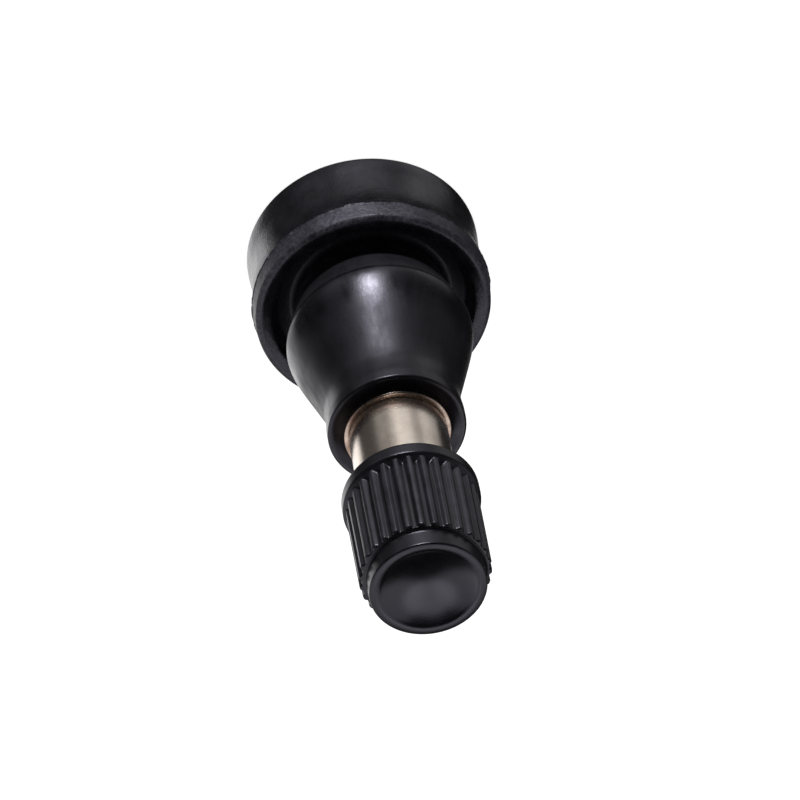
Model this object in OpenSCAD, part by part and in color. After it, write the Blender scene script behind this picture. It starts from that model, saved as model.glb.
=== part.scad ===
// Snap-in tyre valve: a rubber body moulded on a plated brass stem, with a screw-in valve core
// and a ribbed plastic cap. Sizes in millimetres. The axis is Z and the base stands on Z = 0.

/* [Rubber body] */
// Height of the rubber, from the underside of the base to the end of the neck
body_h = 23.3; // [21:0.05:26]
// Diameter of the base at its underside
base_d = 18.72; // [17:0.02:20]
// Diameter of the base wall at its waist
waist_d = 18.52; // [17:0.02:20]
// Height of the waist
waist_h = 2.8; // [1.5:0.1:4]
// Largest diameter, at the moulding seam of the sealing lip
lip_d = 19.16; // [18.6:0.02:21]
// Height of the moulding seam
seam_h = 6.25; // [5:0.05:7]
// Height of the lip's crest
lip_h = 8.05; // [7.2:0.05:9]
// Width of the sealing lip at its crest
lip_w = 1.25; // [0.8:0.05:1.6]
// Depth of the recess behind the lip
recess_depth = 1.55; // [0.8:0.05:2]
// Diameter at the root of the rim groove
groove_d = 12.2; // [11:0.05:13.2]
// Largest diameter of the bulb
bulb_d = 15.04; // [14:0.02:16.5]
// Height of the bulb's edge
bulb_h = 12.15; // [11:0.05:13.5]
// Smallest diameter of the neck
neck_d = 10.38; // [9.9:0.02:11.4]
// Diameter of the bead round the end of the neck
bead_d = 10.88; // [10.4:0.02:12]
// Height of that bead
bead_h = 3.2; // [2.4:0.05:4]
// Depth of the funnel in the end of the neck
funnel_depth = 0.45; // [0.2:0.05:0.8]
// Diameter of the air hole in the underside
air_hole_d = 5; // [3.5:0.1:6.5]
// Rounding of the base's lower edge
base_edge_r = 0.25; // [0.15:0.05:0.6]

/* [Stem] */
// Height of the stem's mouth above the underside of the base
stem_h = 39.8; // [38:0.1:43.5]
// Diameter of the shank and of the cap thread
stem_d = 7.75; // [7.2:0.01:8.3]
// Diameter of the stem inside the rubber
insert_d = 6.4; // [5.6:0.1:7]
// Diameter of the foot
foot_d = 9.8; // [8.6:0.1:11]
// Thickness of the foot
foot_t = 1.2; // [0.8:0.1:1.6]
// Rubber below the foot
foot_cover = 2.2; // [1.4:0.1:3]
// Height of each barb step on the diameter
barb_step = 0.45; // [0.2:0.05:0.6]
// Length of each barb
barb_l = 1.5; // [1:0.1:2]
// Number of barbs
barb_n = 3; // [2:1:4]
// Step of the collar at the end of the rubber
collar_step = 0.2; // [0.1:0.05:0.35]
// Length of the collar
collar_l = 1.6; // [1:0.1:2.2]
// Width of the relief groove above the collar
relief_w = 0.3; // [0.15:0.05:0.5]
// Depth of the relief groove
relief_depth = 0.15; // [0.05:0.05:0.3]
// Chamfer outside the mouth
mouth_chamfer = 0.45; // [0.2:0.05:0.55]
// Chamfer inside the mouth
bore_chamfer = 0.25; // [0.1:0.05:0.35]
// Diameter of the bore for the core's thread
core_bore_d = 5.3; // [5.1:0.02:5.7]
// Diameter of the chamber below the seat
chamber_d = 3.9; // [3.7:0.02:4.2]
// Length of the conical seat
seat_l = 2.4; // [1.8:0.1:3]
// Diameter of the air way down to the foot
airway_d = 2.9; // [2.2:0.1:3.4]

/* [Valve core] */
// Depth of the pin's tip below the mouth
pin_drop = 0.3; // [0.1:0.05:0.8]
// Depth of the plug's head below the mouth
plug_drop = 0.9; // [0.7:0.05:1.3]
// Height of the plug's two-sided head
head_h = 2; // [1.4:0.1:2.6]
// Width of the head
head_w = 4.4; // [3.8:0.1:4.7]
// Thickness of the head
head_t = 2.1; // [1.9:0.05:2.6]
// Length of the plug's thread
plug_l = 3.2; // [2.6:0.1:3.8]
// Diameter of the air bore in the plug
plug_bore_d = 2; // [1.8:0.05:2.3]
// Diameter of the swivel flange under the plug
swivel_d = 3.5; // [3.3:0.05:3.8]
// Thickness of the swivel flange
swivel_t = 0.5; // [0.3:0.05:0.7]
// Step between the swivel flange and its neck
swivel_step = 0.3; // [0.2:0.05:0.4]
// Wall of the barrel
barrel_wall = 0.4; // [0.3:0.02:0.45]
// Length of the barrel
barrel_l = 9.8; // [9:0.1:11]
// Thickness of the barrel's lower end
barrel_end_t = 1; // [0.6:0.1:1.4]
// Step of the shoulder that carries the gasket
shoulder_step = 0.2; // [0.1:0.05:0.25]
// Height of that shoulder
shoulder_h = 0.4; // [0.3:0.05:0.6]
// Diameter of the pin
pin_d = 1.1; // [0.9:0.02:1.2]
// Travel of the pin when it is pressed
pin_travel = 1.5; // [1:0.1:1.8]
// Thickness of the pin's collar, on which the spring pushes
pin_collar_t = 0.5; // [0.3:0.05:0.8]
// Wire of the spring
wire_d = 0.28; // [0.22:0.01:0.32]
// Number of spring turns
spring_turns = 7; // [5:1:9]
// Thickness of the cup's seal
cup_seal_t = 1; // [0.7:0.05:1.3]
// How far that seal stands out of the cup
cup_seal_proud = 0.25; // [0.15:0.05:0.4]
// Wall of the cup
cup_wall = 0.22; // [0.16:0.02:0.3]
// Floor of the cup
cup_floor_t = 0.35; // [0.2:0.05:0.5]
// Height of the rivet head under the cup
rivet_h = 0.5; // [0.3:0.05:0.7]
// Diameter of that rivet head
rivet_d = 1.9; // [1.5:0.05:2.2]

/* [Cap] */
// Length of the cap
cap_l = 11.15; // [10.6:0.05:12.3]
// Diameter of the smooth collar at the open end
cap_collar_d = 10.68; // [10.2:0.02:11.5]
// Height of that collar
cap_collar_h = 1.4; // [1:0.05:2]
// Diameter over the ribs at the collar
rib_low_d = 10.26; // [9.9:0.02:11]
// Diameter over the ribs at their upper end
rib_top_d = 10.14; // [9.7:0.02:10.8]
// Distance from the ribs' upper end to the cap's crest
rib_end_drop = 1.7; // [1.3:0.05:2.2]
// Number of ribs
rib_n = 30; // [24:1:34]
// Width of the grooves between the ribs
rib_groove_w = 0.74; // [0.5:0.02:0.8]
// Depth of the grooves between the ribs
rib_groove_depth = 0.34; // [0.2:0.02:0.4]
// Turn of the first groove about the axis
rib_phase = 7; // [0:0.5:12]
// Diameter of the end boss at its foot
boss_d = 9; // [8.7:0.02:9.5]
// Diameter of the end boss where its rim starts to round over
boss_top_d = 8.7; // [8.4:0.02:9]
// Diameter of the crest ring on the end
crest_d = 8.1; // [7.4:0.05:8.3]
// Depth of the dish in the end
dish_depth = 0.6; // [0.3:0.02:0.7]
// Thickness from the inner end to the crest
cap_end_t = 1.25; // [1.1:0.05:1.9]
// Depth of the plain entry below the inner thread
entry_l = 3.5; // [3:0.05:4.2]
// Diameter of the plain entry, more than the stem by
entry_play = 0.55; // [0.3:0.05:0.8]
// Diameter of the cap's seal
cap_seal_d = 7.1; // [6.8:0.02:7.4]
// Thickness of the cap's seal
cap_seal_t = 1.36; // [1.3:0.02:1.8]

/* [Clearances] */
// Radial clearance between the stem and the cap
cap_clear = 0.075; // [0.04:0.005:0.12]
// Radial clearance between the plug and its bore
plug_clear = 0.05; // [0.03:0.005:0.08]
// Clearance of the swivel between the plug and the barrel
swivel_clear = 0.1; // [0.06:0.01:0.14]
// Radial clearance between the core and the chamber
chamber_clear = 0.15; // [0.1:0.01:0.2]
// Radial clearance between the cup and the chamber
cup_clear = 0.3; // [0.2:0.02:0.4]
// Radial clearance between the gasket and its seat
gasket_clear = 0.05; // [0.03:0.005:0.08]
// Radial clearance between the spring and the barrel
spring_clear = 0.1; // [0.06:0.01:0.14]
// Radial clearance of the pin in the plug and the collar in the barrel
pin_clear = 0.12; // [0.08:0.01:0.16]
// Gap between faces that press on each other
seat_gap = 0.02; // [0.01:0.005:0.03]
// Room kept between a moving piece and the end of its space
end_room = 0.6; // [0.4:0.05:0.9]

/* [Hidden] */
$fn = 96;
// Overshoot of cuts past the faces they open
cut = 0.1;
// Segments in a quarter arc and in a free curve
arc_n = 6;
curve_n = 6;

// Radii of the rubber body
base_r = base_d / 2;
waist_r = waist_d / 2;
lip_r = lip_d / 2;
groove_r = groove_d / 2;
bulb_r = bulb_d / 2;
neck_r = neck_d / 2;
bead_r = bead_d / 2;
air_hole_r = air_hole_d / 2;
// The lip leans in a little from the seam and rounds over at its crest
lip_lean = 0.12;
lip_outer_round = 0.5;
lip_inner_round = 0.3;
lip_inner_r = lip_r - lip_lean - lip_outer_round / 2 - lip_w;
recess_h = lip_h - recess_depth;
recess_slope = 0.35;
recess_rise = 0.2;
groove_round = 0.5;
groove_land = 0.5;
// The lip flares out over the last stretch below the seam
flare_from = 1.4;
flare_to = 0.8;
// Blunt nose of the bulb, and the slight swell of its taper towards the neck
bulb_nose = 0.2;
taper_swell = [0.06, 0];
bead_round = 0.3;
bead_swell = 1.2;
neck_h = body_h - bead_h;
bulb_back = [bulb_r - bulb_nose, bulb_h - 2 * bulb_nose];
bulb_front = [bulb_r - bulb_nose, bulb_h + 2 * bulb_nose];
neck_end = [neck_r, neck_h];

// Stem
stem_r = stem_d / 2;
insert_r = insert_d / 2;
foot_r = foot_d / 2;
foot_edge = 0.25;
foot_flare = 1.2;
foot_top = foot_cover + foot_t;
collar_r = stem_r + collar_step;
collar_top = body_h - seat_gap;
collar_low = collar_top - collar_l;
barb_from = seam_h + foot_flare;
barb_pitch = (collar_low - barb_from) / (barb_n + 1);
core_bore_r = core_bore_d / 2;
chamber_r = chamber_d / 2;
airway_r = airway_d / 2;

// Valve core, from the mouth down
pin_top = stem_h - pin_drop;
head_top = stem_h - plug_drop;
plug_top = head_top - head_h;
plug_low = plug_top - plug_l;
plug_r = core_bore_r - plug_clear;
plug_bore_r = plug_bore_d / 2;
plug_web = 0.6;
swivel_r = swivel_d / 2;
swivel_neck_r = swivel_r - swivel_step;
crimp_lip_t = 0.35;
barrel_top = plug_low - swivel_clear;
swivel_top = barrel_top - crimp_lip_t - swivel_clear;
swivel_low = swivel_top - swivel_t;
crimp_bore_r = swivel_r + swivel_clear;
crimp_r = crimp_bore_r + barrel_wall;
crimp_floor = swivel_low - swivel_clear;
gasket_top = crimp_floor - crimp_lip_t;
seat_lead = 0.2;
seat_tail = 0.3;
seat_top = gasket_top + seat_lead;
seat_low = seat_top - seat_l;
gasket_low = seat_low + seat_tail;
shoulder_r = chamber_r - chamber_clear;
barrel_r = shoulder_r - shoulder_step;
barrel_bore_r = barrel_r - barrel_wall;
barrel_low = barrel_top - barrel_l;
barrel_floor = barrel_low + barrel_end_t;
barrel_tip_w = 0.3;
pin_r = pin_d / 2;
pin_hole_r = pin_r + pin_clear;
pin_air = 0.3;
pin_collar_r = barrel_bore_r - pin_clear;
pin_collar_top = crimp_floor - end_room;
pin_collar_low = pin_collar_top - pin_collar_t;
pin_point = 0.25;
spring_r = barrel_bore_r - spring_clear - wire_d / 2;
spring_low = barrel_floor + seat_gap;
spring_top = pin_collar_low - seat_gap;
cup_seal_top = barrel_low - seat_gap;
cup_seal_low = cup_seal_top - cup_seal_t;
cup_r = chamber_r - cup_clear;
cup_bore_r = cup_r - cup_wall;
cup_top = cup_seal_top - cup_seal_proud;
cup_low = cup_seal_low - seat_gap - cup_floor_t;
pin_low = cup_low - seat_gap - rivet_h;
chamber_low = pin_low - pin_travel - end_room;

// Cap, from the stem's mouth up and from the crest down
cap_seal_low = stem_h + seat_gap;
cap_seal_top = cap_seal_low + cap_seal_t;
cap_inner_end = cap_seal_top + seat_gap;
cap_crest = cap_inner_end + cap_end_t;
cap_low = cap_crest - cap_l;
cap_collar_r = cap_collar_d / 2;
cap_edge_r = 0.25;
rib_low_r = rib_low_d / 2;
rib_top_r = rib_top_d / 2;
rib_low = cap_low + cap_collar_h;
rib_top = cap_crest - rib_end_drop;
rib_lean = atan((rib_low_r - rib_top_r) / (rib_top - rib_low));
groove_cut_r = (pow(rib_groove_w / 2, 2) + pow(rib_groove_depth, 2)) / (2 * rib_groove_depth);
boss_r = boss_d / 2;
boss_top_r = boss_top_d / 2;
crest_r = crest_d / 2;
// A narrow rounded rim runs round the end, and the dish falls away from its crest
rim_round = boss_top_r - crest_r;
rim_end = [crest_r, cap_crest];
dish_blend = 0.08 * crest_r;
cap_bore_r = stem_r + cap_clear;
entry_r = stem_r + entry_play / 2;
entry_top = cap_low + entry_l;
seal_pocket_r = cap_seal_d / 2 + cap_clear;
seal_hole_r = head_w / 2 + end_room;

// Points along an arc about c, from angle a to angle b
function arc(c, r, a, b) = [
  for (i = [0 : arc_n])
    let (t = a + (b - a) * i / arc_n)
    c + r * [cos(t), sin(t)]
];

// Points along a cubic curve from p to s, drawn towards q and r
function curve(p, q, r, s) = [
  for (i = [0 : curve_n])
    let (t = i / curve_n, u = 1 - t)
    u * u * u * p + 3 * u * u * t * q + 3 * u * t * t * r + t * t * t * s
];

// Outline of the base flange: underside, waisted wall, seam and rounded sealing lip
function base_outline() = concat(
  [[0, 0]],
  arc([base_r - base_edge_r, base_edge_r], base_edge_r, -90, 0),
  curve([base_r, base_edge_r], [base_r, waist_h / 2], [waist_r, waist_h / 2], [waist_r, waist_h]),
  curve(
    [waist_r, waist_h],
    [waist_r, seam_h - flare_from],
    [lip_r - lip_lean, seam_h - flare_to],
    [lip_r, seam_h]
  ),
  arc([lip_r - lip_lean - lip_outer_round, lip_h - lip_outer_round], lip_outer_round, 0, 90),
  arc([lip_inner_r + lip_inner_round, lip_h - lip_inner_round], lip_inner_round, 90, 180),
  [[lip_inner_r - recess_slope, recess_h]]
);

// Outline of the plug end: rim groove, back cone, bulb, taper, beaded neck and funnel
function plug_outline() = concat(
  arc([groove_r + groove_round, recess_h + recess_rise + groove_round], groove_round, 270, 180),
  [[groove_r, recess_h + recess_rise + groove_round + groove_land]],
  curve(bulb_back, [bulb_r, bulb_h - bulb_nose], [bulb_r, bulb_h + bulb_nose], bulb_front),
  curve(
    bulb_front,
    bulb_front + (neck_end - bulb_front) / 3,
    neck_end + (bulb_front - neck_end) / 3 + taper_swell,
    neck_end
  ),
  curve(
    neck_end,
    neck_end + [0, bead_swell / 2],
    [bead_r, neck_h + bead_swell / 2],
    [bead_r, neck_h + bead_swell]
  ),
  arc([bead_r - bead_round, body_h - bead_round], bead_round, 0, 90),
  [[collar_r, body_h - funnel_depth], [0, body_h - funnel_depth]]
);

// Outline of the stem: foot, flare, barbs under the rubber, collar, relief, shank and mouth
function stem_outline() = concat(
  [[0, foot_cover], [foot_r - foot_edge, foot_cover], [foot_r, foot_cover + foot_edge]],
  [[foot_r, foot_top - foot_edge], [foot_r - foot_edge, foot_top]],
  arc([insert_r + foot_flare, foot_top + foot_flare], foot_flare, 270, 180),
  [
    for (i = [1 : barb_n])
      let (z = barb_from + i * barb_pitch)
      each [[insert_r, z - barb_l], [insert_r + barb_step, z - barb_l], [insert_r, z]]
  ],
  [[insert_r, collar_low], [collar_r, collar_low], [collar_r, collar_top]],
  [[stem_r - relief_depth, collar_top], [stem_r - relief_depth, collar_top + relief_w]],
  [[stem_r, collar_top + relief_w], [stem_r, stem_h - mouth_chamfer]],
  [[stem_r - mouth_chamfer, stem_h], [0, stem_h]]
);

// Outline of the passage through the stem: mouth, thread bore, seat, chamber and air way
function passage_outline() = [
  [0, foot_cover - cut],
  [airway_r, foot_cover - cut],
  [airway_r, chamber_low - (chamber_r - airway_r)],
  [chamber_r, chamber_low],
  [chamber_r, seat_low],
  [core_bore_r, seat_top],
  [core_bore_r, stem_h - bore_chamfer],
  [core_bore_r + bore_chamfer + cut, stem_h + cut],
  [0, stem_h + cut]
];

// Radius of the conical seat at height z
function seat_r(z) = chamber_r + (core_bore_r - chamber_r) * (z - seat_low) / seat_l;

// A ring or tube between two radii and two heights
module tube(outer, inner, low, top) {
  translate([0, 0, low])
    difference() {
      cylinder(r = outer, h = top - low);
      translate([0, 0, -cut])
        cylinder(r = inner, h = top - low + 2 * cut);
    }
}

module turned(outline) {
  rotate_extrude()
    polygon(outline);
}

module rubber_body() {
  color("#1d1d22")
    difference() {
      turned(concat(base_outline(), plug_outline()));
      turned(stem_outline());
      translate([0, 0, -cut])
        cylinder(r = air_hole_r, h = foot_cover + 2 * cut);
    }
}

module brass_stem() {
  color("#b9ad9e")
    difference() {
      turned(stem_outline());
      turned(passage_outline());
    }
}

// Threaded plug with a two-sided head for the core key and a swivel flange under it
module core_plug() {
  color("#c9a24f")
    difference() {
      union() {
        translate([0, 0, plug_low])
          cylinder(r = plug_r, h = plug_l);
        intersection() {
          translate([0, 0, plug_low + cut])
            cylinder(d = head_w, h = head_top - plug_low - cut);
          translate([-head_w / 2, -head_t / 2, plug_low + cut])
            cube([head_w, head_t, head_top - plug_low - cut]);
        }
        translate([0, 0, swivel_top - cut])
          cylinder(r = swivel_neck_r, h = plug_low - swivel_top + 2 * cut);
        translate([0, 0, swivel_low])
          cylinder(r = swivel_r, h = swivel_t);
      }
      translate([0, 0, swivel_low - cut])
        cylinder(r = plug_bore_r, h = plug_top - plug_web - swivel_low + cut);
      translate([0, 0, plug_low])
        cylinder(r = pin_hole_r, h = head_top - plug_low + cut);
      air_windows();
    }
}

// Two windows beside the head, through which the air passes the plug
module air_windows() {
  window_d = (2 * plug_r - head_t) / 2 - 2 * plug_clear;
  for (side = [-1, 1])
    translate([0, side * (head_t / 2 + window_d / 2), plug_top - plug_web - cut])
      cylinder(d = window_d, h = plug_web + 2 * cut);
}

// Barrel with the crimped swivel cage, the gasket's shoulder and the lower sealing edge
module core_barrel() {
  color("#c9a24f")
    turned([
      [pin_r + pin_air, barrel_low],
      [barrel_r - barrel_tip_w, barrel_low],
      [barrel_r, barrel_low + barrel_tip_w],
      [barrel_r, gasket_low - shoulder_h],
      [shoulder_r, gasket_low - shoulder_h],
      [shoulder_r, gasket_low],
      [barrel_r, gasket_low],
      [barrel_r, gasket_top],
      [crimp_r, gasket_top],
      [crimp_r, barrel_top],
      [swivel_neck_r + swivel_clear, barrel_top],
      [swivel_neck_r + swivel_clear, barrel_top - crimp_lip_t],
      [crimp_bore_r, barrel_top - crimp_lip_t],
      [crimp_bore_r, crimp_floor],
      [barrel_bore_r, crimp_floor],
      [barrel_bore_r, barrel_floor],
      [pin_r + pin_air, barrel_floor]
    ]);
}

module barrel_gasket() {
  color("#8c3b2a")
    turned([
      [barrel_r + seat_gap, gasket_low + seat_gap],
      [seat_r(gasket_low) - gasket_clear, gasket_low + seat_gap],
      [seat_r(gasket_top) - gasket_clear, gasket_top - seat_gap],
      [barrel_r + seat_gap, gasket_top - seat_gap]
    ]);
}

module core_pin() {
  color("#c9a24f")
    turned([
      [0, pin_low],
      [rivet_d / 2 - rivet_h / 3, pin_low],
      [rivet_d / 2, pin_low + rivet_h / 2],
      [rivet_d / 2, pin_low + rivet_h],
      [pin_r, pin_low + rivet_h],
      [pin_r, pin_collar_low],
      [pin_collar_r, pin_collar_low],
      [pin_collar_r, pin_collar_top],
      [pin_r, pin_collar_top + pin_collar_t],
      [pin_r, pin_top - pin_point],
      [pin_r - pin_point, pin_top],
      [0, pin_top]
    ]);
}

// Coil spring swept along its helix, with one closed turn at each end
module core_spring() {
  sides = 8;
  turn_steps = 20;
  steps = spring_turns * turn_steps;
  low = spring_low + wire_d / 2;
  rise = spring_top - spring_low - wire_d;
  open_turns = spring_turns - 2;
  end_rise = wire_d * 1.1;
  open_rise = rise - 2 * end_rise;
  function coil_z(n) =
    n < 1 ? low + n * end_rise
    : n > spring_turns - 1 ? low + end_rise + open_rise + (n - spring_turns + 1) * end_rise
    : low + end_rise + (n - 1) / open_turns * open_rise;
  function ring(i) = [
    for (k = [0 : sides - 1])
      let (
        turn = i * 360 / turn_steps,
        side = k * 360 / sides,
        r = spring_r + wire_d / 2 * cos(side)
      )
      [r * cos(turn), r * sin(turn), coil_z(i / turn_steps) + wire_d / 2 * sin(side)]
  ];
  points = [for (i = [0 : steps]) each ring(i)];
  walls = [
    for (i = [0 : steps - 1], k = [0 : sides - 1])
      let (a = i * sides, b = a + sides, next = (k + 1) % sides)
      each [[a + k, a + next, b + next], [a + k, b + next, b + k]]
  ];
  first_end = [for (k = [sides - 1 : -1 : 0]) k];
  last_end = [for (k = [0 : sides - 1]) steps * sides + k];
  color("#a9a9ad")
    polyhedron(points, concat(walls, [first_end, last_end]));
}

module pin_cup() {
  color("#c9a24f")
    turned([
      [pin_r + seat_gap, cup_low],
      [cup_r - cup_wall, cup_low],
      [cup_r, cup_low + cup_wall],
      [cup_r, cup_top],
      [cup_bore_r, cup_top],
      [cup_bore_r, cup_low + cup_floor_t],
      [pin_r + seat_gap, cup_low + cup_floor_t]
    ]);
}

module cup_seal() {
  color("#26262a")
    tube(cup_bore_r - seat_gap, pin_r + seat_gap, cup_seal_low, cup_seal_top);
}

// Outline of the cap's outside: rounded collar, ribbed skirt, boss, rim and dished end
function cap_outline() = concat(
  [[0, cap_low]],
  arc([cap_collar_r - cap_edge_r, cap_low + cap_edge_r], cap_edge_r, -90, 0),
  [[cap_collar_r, rib_low - (cap_collar_r - rib_low_r)], [rib_low_r, rib_low]],
  [[rib_top_r, rib_top], [boss_r, rib_top]],
  arc([crest_r, cap_crest - rim_round], rim_round, 0, 90),
  curve(
    rim_end,
    rim_end - [dish_blend, 0],
    [crest_r / 2, cap_crest - dish_depth],
    [0, cap_crest - dish_depth]
  )
);

// Round-bottomed groove between two ribs, with a round end at the collar
module rib_groove() {
  end = rib_low + groove_cut_r;
  translate([rib_low_r + groove_cut_r - rib_groove_depth, 0, end])
    rotate([0, -rib_lean, 0]) {
      sphere(r = groove_cut_r);
      cylinder(r = groove_cut_r, h = rib_top - end + cut);
    }
}

module cap_shell() {
  color("#212125")
    difference() {
      turned(cap_outline());
      translate([0, 0, cap_low - cut])
        cylinder(r = entry_r, h = entry_l + cut);
      translate([0, 0, entry_top - cut])
        cylinder(r = cap_bore_r, h = stem_h + 2 * seat_gap - entry_top + cut);
      translate([0, 0, stem_h - cut])
        cylinder(r = seal_pocket_r, h = cap_inner_end - stem_h + cut);
      for (i = [0 : rib_n - 1])
        rotate([0, 0, rib_phase + i * 360 / rib_n])
          rib_groove();
    }
}

module cap_seal() {
  color("#2b2b2e")
    tube(cap_seal_d / 2, seal_hole_r, cap_seal_low, cap_seal_top);
}

rubber_body();
brass_stem();
core_plug();
core_barrel();
barrel_gasket();
core_pin();
core_spring();
pin_cup();
cup_seal();
cap_shell();
cap_seal();
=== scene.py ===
"""A rubber snap-in tyre valve: moulded body, plated stem, screw-in core and ribbed screw cap."""

import math

import bmesh
import bpy
import numpy as np
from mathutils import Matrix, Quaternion, Vector


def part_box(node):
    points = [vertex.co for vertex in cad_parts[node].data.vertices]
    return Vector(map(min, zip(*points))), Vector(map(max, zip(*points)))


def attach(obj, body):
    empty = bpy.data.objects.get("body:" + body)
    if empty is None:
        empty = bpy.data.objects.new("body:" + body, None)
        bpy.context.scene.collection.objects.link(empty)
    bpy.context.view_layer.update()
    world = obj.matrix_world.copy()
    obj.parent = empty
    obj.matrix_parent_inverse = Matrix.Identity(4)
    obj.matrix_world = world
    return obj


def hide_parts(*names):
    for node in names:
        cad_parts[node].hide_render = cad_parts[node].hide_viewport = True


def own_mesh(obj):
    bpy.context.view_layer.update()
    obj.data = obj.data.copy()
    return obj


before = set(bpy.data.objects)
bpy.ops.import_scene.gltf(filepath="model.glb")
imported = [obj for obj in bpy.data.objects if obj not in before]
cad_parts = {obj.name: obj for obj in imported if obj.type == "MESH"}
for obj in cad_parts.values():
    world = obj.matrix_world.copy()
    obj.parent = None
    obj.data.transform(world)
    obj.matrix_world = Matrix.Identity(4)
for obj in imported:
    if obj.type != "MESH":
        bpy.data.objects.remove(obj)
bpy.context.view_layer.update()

# Outlines are drawn in millimetres of radius and height, and the meshes are in metres
MM = 0.001
FULL_TURN = 2 * math.pi
MERGE = 1e-7

# Sizes that the frame gives
body_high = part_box("rubber_body")[1] / MM
stem_low, stem_high = (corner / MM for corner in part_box("brass_stem"))
cap_box_low, cap_box_high = (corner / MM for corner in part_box("cap_shell"))
spring_box_low, spring_box_high = (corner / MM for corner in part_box("core_spring"))

# Rubber body
LIP_R = body_high.x
BODY_TOP = body_high.z
BASE_R, BASE_EDGE = 9.36, 0.25
AIR_HOLE_R, HOLE_EDGE = 2.5, 0.25
WAIST_R, WAIST_Z = 9.26, 2.8
SEAM_Z, FLASH = 6.25, 0.03
# The torn seam, in steps outwards from the lip's radius and upwards from the seam's height
SEAM_STEPS = (
    (-0.02, -0.1), (0, -0.05), (FLASH, 0), (0, 0.04), (-0.04, 0.09), (-0.04, 0.17), (-0.04, 0.25),
)
LIP_Z = 8.05
LIP_EDGE_R, LIP_INNER_R = LIP_R - 0.12, 7.96
LIP_ROUND, LIP_CROWN, LIP_SLOPE, LIP_TURN = 0.5, 0.42, 16, 0.3
RECESS_R, RECESS_Z = 7.61, 6.5
GROOVE_R, GROOVE_Z, GROOVE_TURN, BACK_Z = 6.1, 6.0, 0.5, 7.7
BULB_R, BULB_Z = 7.55, 12.2
BULB_NOSE, BULB_FRONT = 0.5, 1.9
NECK_R, NECK_Z, TAPER_END = 5.19, 20.1, 2.2
BEAD_R, BEAD_RISE, BEAD_TURN = 5.44, 2.2, 0.22
FUNNEL_DEPTH = 0.45
BODY_COLUMNS = 288

# Stem, its outer thread and its passage
FOOT_R, FOOT_Z, FOOT_TOP = stem_high.x, stem_low.z, 3.4
FOOT_EDGE, FOOT_FLARE = 0.25, 1.2
MOUTH_Z = stem_high.z
INSERT_R, BARB_R, BARB_L = 3.2, 3.65, 1.5
BARB_TOPS = (11.0075, 14.565, 18.1225)
COLLAR_R, COLLAR_LOW, COLLAR_TOP = 4.075, 21.68, 23.75
COLLAR_RIM_R, COLLAR_RIM_H, COLLAR_ROUND = 4.2, 0.35, 0.1
SHANK_R, SHANK_EDGE, SHANK_BEVEL = 3.875, 0.05, 0.04
RELIEF_W, RELIEF_DEPTH = 0.3, 0.15
MOUTH_CHAMFER, BORE_CHAMFER = 0.45, 0.25
BORE_R, CHAMBER_R, AIRWAY_R = 2.65, 1.95, 1.45
SEAT_TOP, SEAT_LOW, CHAMBER_LOW = MOUTH_Z - 7.4, MOUTH_Z - 9.8, MOUTH_Z - 20.01
THREAD_PITCH, THREAD_DEPTH, THREAD_FLANK = 0.79375, 0.42, 0.78
THREAD_FROM, THREAD_FADE, THREAD_RINGS = 32.6, 0.9, 14
STEM_COLUMNS = 240

# Cap
CAP_LOW, CREST_Z = cap_box_low.z, cap_box_high.z
CAP_COLLAR_R, CAP_COLLAR_H, CAP_EDGE = cap_box_high.x, 1.4, 0.25
RIB_LOW_R, RIB_TOP_R = 5.13, 5.07
RIB_LOW, RIB_TOP = CAP_LOW + CAP_COLLAR_H, CREST_Z - 1.7
RIB_COUNT, RIB_PHASE, RIB_COLUMNS = 30, 7, 16
GROOVE_W, GROOVE_DEPTH, GROOVE_BLUNT, GROOVE_END_ROUND = 0.74, 0.34, 0.1, 0.8
GROOVE_END_TURNS = (50, 42, 34, 26, 20, 15, 10, 5, 0)
RIB_END_ROUND, BOSS_FILLET = 0.2, 0.27
BOSS_R, BOSS_TOP_R, CREST_R, DISH_R = 4.53, 4.5, 3.98, 3.6
RIM_R, RIM_FALL, RIM_DROP = 4.36, 0.05, 0.3
DISH_DEPTH, DISH_RINGS = 0.68, 24
INNER_END, POCKET_R, POCKET_Z = CREST_Z - 1.25, 3.625, MOUTH_Z + 0.04
ENTRY_R, ENTRY_EDGE, ENTRY_TOP = 4.15, 0.12, CAP_LOW + 3.5
CAP_BORE_R, CAP_MINOR_R = 3.95, 3.6
CAP_THREAD_PLAY = 0.09

# Core spring
WIRE_D, WIRE_SIDES = 0.28, 12
SPRING_TURNS, SPRING_STEPS = 7, 28


# Drawing an outline

def arc(centre, radius, start, end, steps=8):
    """Points along an arc about centre, from one angle to another in degrees."""
    turns = (math.radians(start + (end - start) * i / steps) for i in range(steps + 1))
    return [(centre[0] + radius * math.cos(t), centre[1] + radius * math.sin(t)) for t in turns]


def curve(start, towards, back, end, steps=12):
    """Points along a curve that leaves start towards one point and comes to end from another."""
    points = []
    for i in range(steps + 1):
        t = i / steps
        weights = ((1 - t) ** 3, 3 * (1 - t) ** 2 * t, 3 * (1 - t) * t * t, t ** 3)
        corners = (start, towards, back, end)
        points.append(tuple(sum(w * c[k] for w, c in zip(weights, corners)) for k in (0, 1)))
    return points


def straight(start, end, steps):
    """Points along a straight stretch, with both of its ends."""
    shares = (i / steps for i in range(steps + 1))
    return [
        (start[0] + (end[0] - start[0]) * s, start[1] + (end[1] - start[1]) * s) for s in shares
    ]


def along(start, end, length):
    """The point at a length from start towards end."""
    share = length / math.dist(start, end)
    return (start[0] + (end[0] - start[0]) * share, start[1] + (end[1] - start[1]) * share)


# Modelling by hand

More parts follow.
